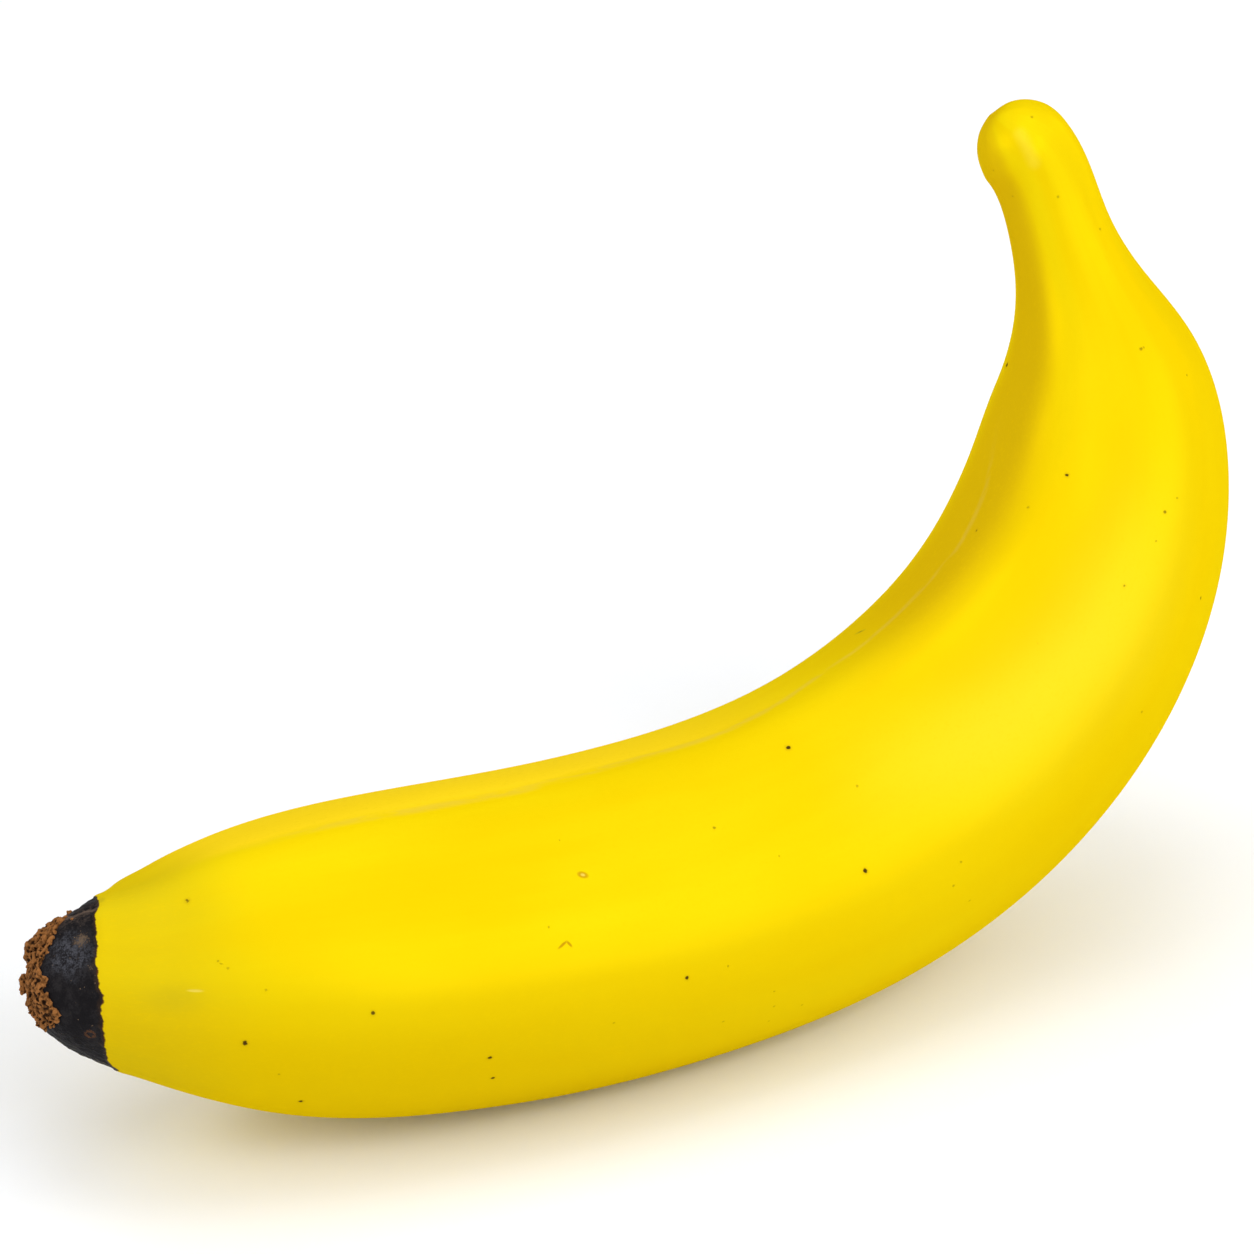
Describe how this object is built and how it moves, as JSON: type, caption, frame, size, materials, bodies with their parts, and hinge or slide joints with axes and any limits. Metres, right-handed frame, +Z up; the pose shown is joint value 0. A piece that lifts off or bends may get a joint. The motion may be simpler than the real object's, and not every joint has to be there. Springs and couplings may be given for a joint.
{
  "type": "banana",
  "caption": "Ripe yellow banana lying on its outer back side, with a rounded stem end, a black blossom tip and a dried crust on it.",
  "frame": {"origin": "on the surface it lies on, under the middle of the whole fruit's box", "axes": "+X along the fruit from the black blossom tip to the bend below the stem, -Y to the side that shows in front, +Z up, with the stem raised"},
  "size_m": [0.1674, 0.059, 0.0981],
  "materials": {
    "yellow_peel": "satin ripe peel with small brown specks",
    "corky_crust": "rough dry crust"
  },
  "bodies": {
    "root": {"fruit": "yellow_peel", "dried_flower_end": "corky_crust"}
  },
  "joints": []
}
